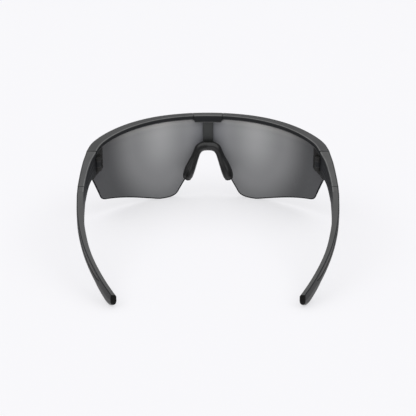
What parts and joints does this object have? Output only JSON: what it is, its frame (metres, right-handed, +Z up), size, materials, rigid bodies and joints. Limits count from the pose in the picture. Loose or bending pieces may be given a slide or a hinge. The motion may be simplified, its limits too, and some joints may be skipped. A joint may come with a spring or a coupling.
{
  "type": "glacier glasses",
  "caption": "Half-frame wrap-around shield glasses for snow and rock: one curved smoke lens under a brow bar, a rubber nose bridge and folding temples.",
  "frame": {"origin": "middle of the object's box at its lowest level, on the surface that the open glasses rest on", "axes": "+Z up, -Y the way the lens faces and the wearer looks, +X the wearer's left"},
  "size_m": [0.1448, 0.163, 0.054],
  "materials": {
    "frame_plastic": "fine matte charcoal",
    "dark_plastic": "matte near-black",
    "smoke_lens": "smoke grey with a flash mirror",
    "rubber": "soft matte black",
    "steel": "drawn",
    "washer_plastic": "black nylon"
  },
  "bodies": {
    "front": {"brow_bar": "frame_plastic", "shield_lens": "smoke_lens", "bridge_post": "dark_plastic", "nose_core": "steel", "nose_pad": "rubber", "left_end_lug": "dark_plastic", "right_end_lug": "dark_plastic", "left_hinge_screw": "steel", "right_hinge_screw": "steel", "left_hinge_washers": "washer_plastic", "right_hinge_washers": "washer_plastic"},
    "lens_lock": {"lens_lock": "frame_plastic"},
    "left_temple": {"left_temple_front": "frame_plastic", "left_temple_collar": "frame_plastic", "left_temple_arm": "frame_plastic", "left_arm_inlay": "dark_plastic", "left_temple_core": "steel", "left_temple_cap": "rubber"},
    "right_temple": {"right_temple_front": "frame_plastic", "right_temple_collar": "frame_plastic", "right_temple_arm": "frame_plastic", "right_arm_inlay": "dark_plastic", "right_temple_core": "steel", "right_temple_cap": "rubber"}
  },
  "joints": [
    {"name": "left_temple_fold", "type": "hinge", "parent": "front", "child": "left_temple", "pos_m": [0.0652, -0.03645, 0.0353], "axis": [0, 0, 1], "range_deg": [0, 90]},
    {"name": "right_temple_fold", "type": "hinge", "parent": "front", "child": "right_temple", "pos_m": [-0.0652, -0.03645, 0.0353], "axis": [0, 0, -1], "range_deg": [0, 75]},
    {"name": "lens_lock_lift", "type": "slide", "parent": "front", "child": "lens_lock", "axis": [0, 0, 1], "range_m": [0, 0.003]}
  ]
}
